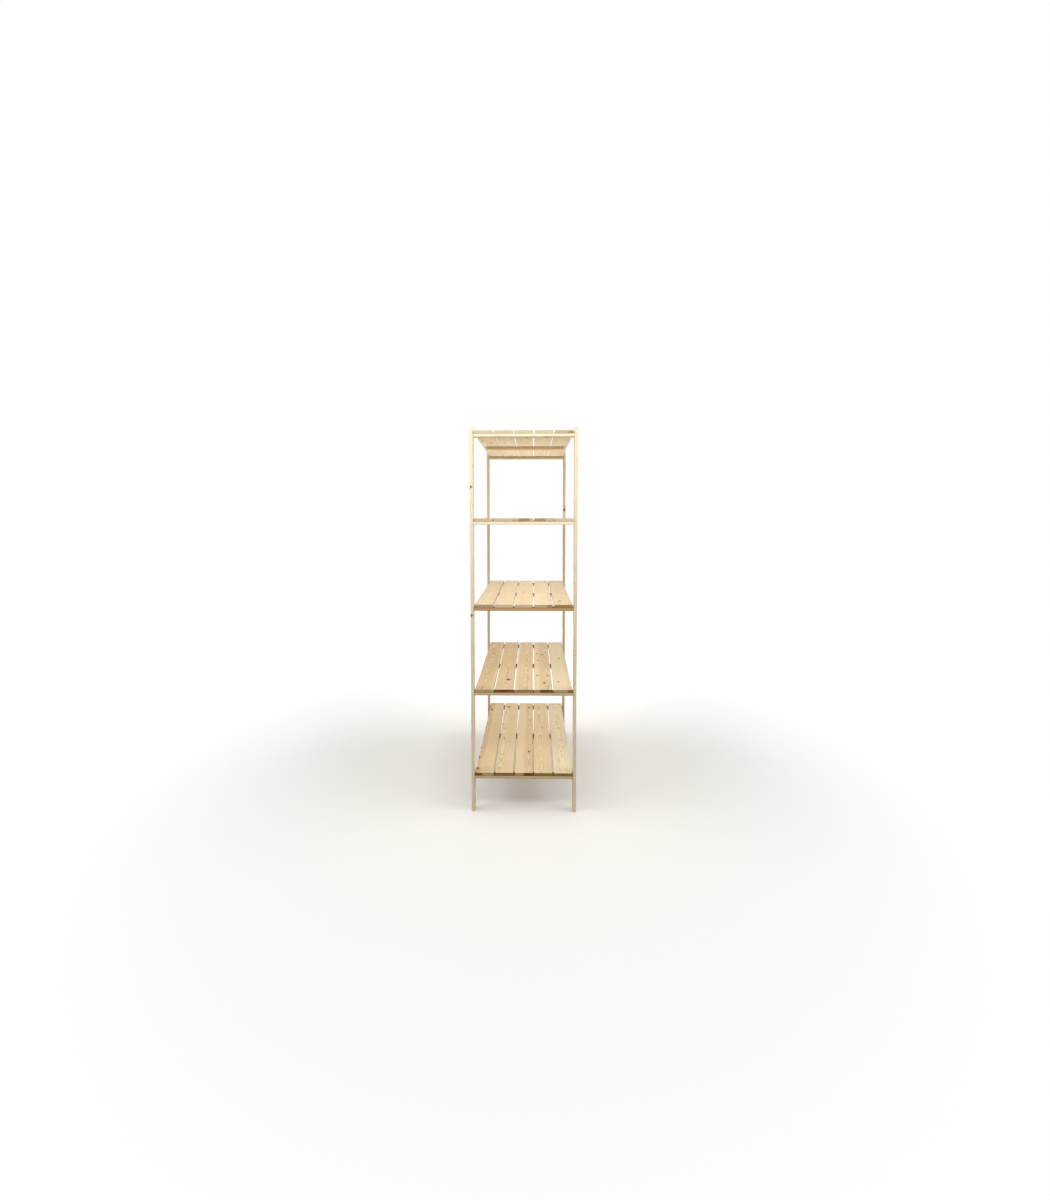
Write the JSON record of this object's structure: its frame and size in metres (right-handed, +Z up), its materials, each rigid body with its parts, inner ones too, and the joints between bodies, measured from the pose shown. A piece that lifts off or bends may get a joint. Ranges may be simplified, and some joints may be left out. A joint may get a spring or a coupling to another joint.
{
  "type": "slatted bread rack",
  "caption": "Tall free-standing slatted pine rack for bread and trays: thin posts, fixed shelves of long slats laid on flat cross rails, open on every side.",
  "frame": {"origin": "on the floor under the middle of the rack", "axes": "+X to the right across the narrow end, +Y along the slats away from the pictured end, +Z up"},
  "size_m": [0.547, 1, 2],
  "materials": {
    "planed_pine_post": "planed, unfinished, matt",
    "planed_pine_rail": "planed, unfinished, matt",
    "planed_pine_slat": "planed, unfinished, matt",
    "zinc_plated_steel": "zinc plated screws and wire nails"
  },
  "bodies": {
    "root": {"post_front_left": "planed_pine_post", "post_front_right": "planed_pine_post", "post_rear_left": "planed_pine_post", "post_rear_right": "planed_pine_post", "shelf_1_rail_front": "planed_pine_rail", "shelf_1_rail_middle": "planed_pine_rail", "shelf_1_rail_rear": "planed_pine_rail", "shelf_1_slat_1": "planed_pine_slat", "shelf_1_slat_2": "planed_pine_slat", "shelf_1_slat_3": "planed_pine_slat", "shelf_1_slat_4": "planed_pine_slat", "shelf_1_slat_5": "planed_pine_slat", "shelf_2_rail_front": "planed_pine_rail", "shelf_2_rail_middle": "planed_pine_rail", "shelf_2_rail_rear": "planed_pine_rail", "shelf_2_slat_1": "planed_pine_slat", "shelf_2_slat_2": "planed_pine_slat", "shelf_2_slat_3": "planed_pine_slat", "shelf_2_slat_4": "planed_pine_slat", "shelf_2_slat_5": "planed_pine_slat", "shelf_3_rail_front": "planed_pine_rail", "shelf_3_rail_middle": "planed_pine_rail", "shelf_3_rail_rear": "planed_pine_rail", "shelf_3_slat_1": "planed_pine_slat", "shelf_3_slat_2": "planed_pine_slat", "shelf_3_slat_3": "planed_pine_slat", "shelf_3_slat_4": "planed_pine_slat", "shelf_3_slat_5": "planed_pine_slat", "shelf_4_rail_front": "planed_pine_rail", "shelf_4_rail_middle": "planed_pine_rail", "shelf_4_rail_rear": "planed_pine_rail", "shelf_4_slat_1": "planed_pine_slat", "shelf_4_slat_2": "planed_pine_slat", "shelf_4_slat_3": "planed_pine_slat", "shelf_4_slat_4": "planed_pine_slat", "shelf_4_slat_5": "planed_pine_slat", "shelf_5_rail_front": "planed_pine_rail", "shelf_5_rail_middle": "planed_pine_rail", "shelf_5_rail_rear": "planed_pine_rail", "shelf_5_slat_1": "planed_pine_slat", "shelf_5_slat_2": "planed_pine_slat", "shelf_5_slat_3": "planed_pine_slat", "shelf_5_slat_4": "planed_pine_slat", "shelf_5_slat_5": "planed_pine_slat"}
  },
  "joints": []
}
